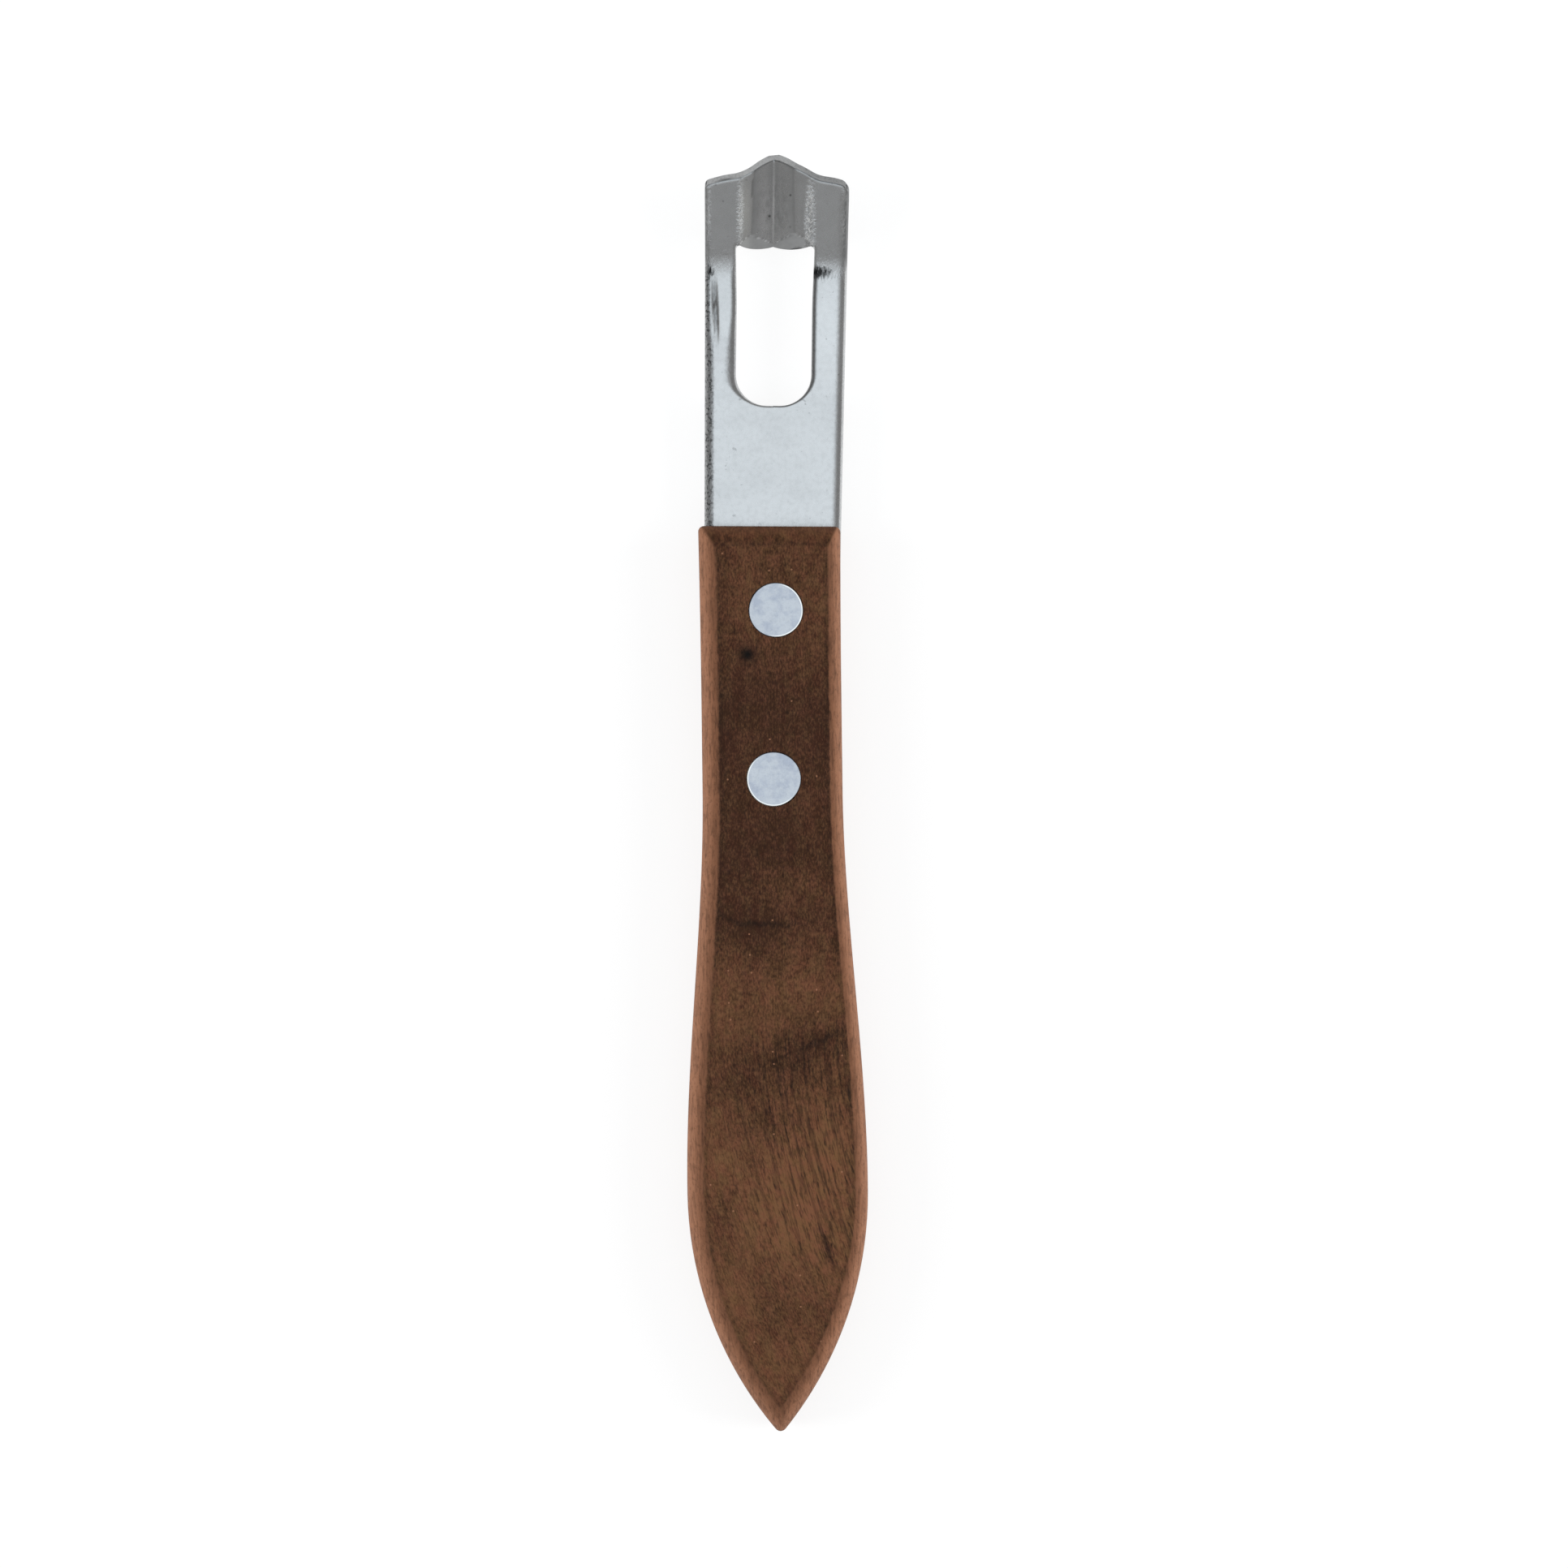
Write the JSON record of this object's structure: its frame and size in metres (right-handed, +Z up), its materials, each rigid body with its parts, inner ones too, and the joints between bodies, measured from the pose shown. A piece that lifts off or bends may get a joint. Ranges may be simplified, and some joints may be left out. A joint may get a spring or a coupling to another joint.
{
  "type": "channel knife",
  "caption": "Bar and kitchen tool with a riveted wooden handle and a slotted flat steel blade whose bent head holds a pressed V channel with a ground lip, for cutting strips of citrus peel.",
  "frame": {"origin": "middle of the knife's length and width, on the surface that the back of the handle lies on", "axes": "+Y along the handle towards the blade's tip, +Z up out of the front face, the side that the head bends towards, +X to the right seen from the front with the blade pointing up"},
  "size_m": [0.0216, 0.1518, 0.011],
  "materials": {
    "blade_steel": "tumbled satin stainless sheet",
    "walnut": "oiled matt walnut",
    "rivet_metal": "sanded flush, mottled"
  },
  "bodies": {
    "root": {"channel_blade": "blade_steel", "handle": "walnut", "front_rivet_stud": "rivet_metal", "front_rivet_sleeve": "rivet_metal", "rear_rivet_stud": "rivet_metal", "rear_rivet_sleeve": "rivet_metal"}
  },
  "joints": []
}
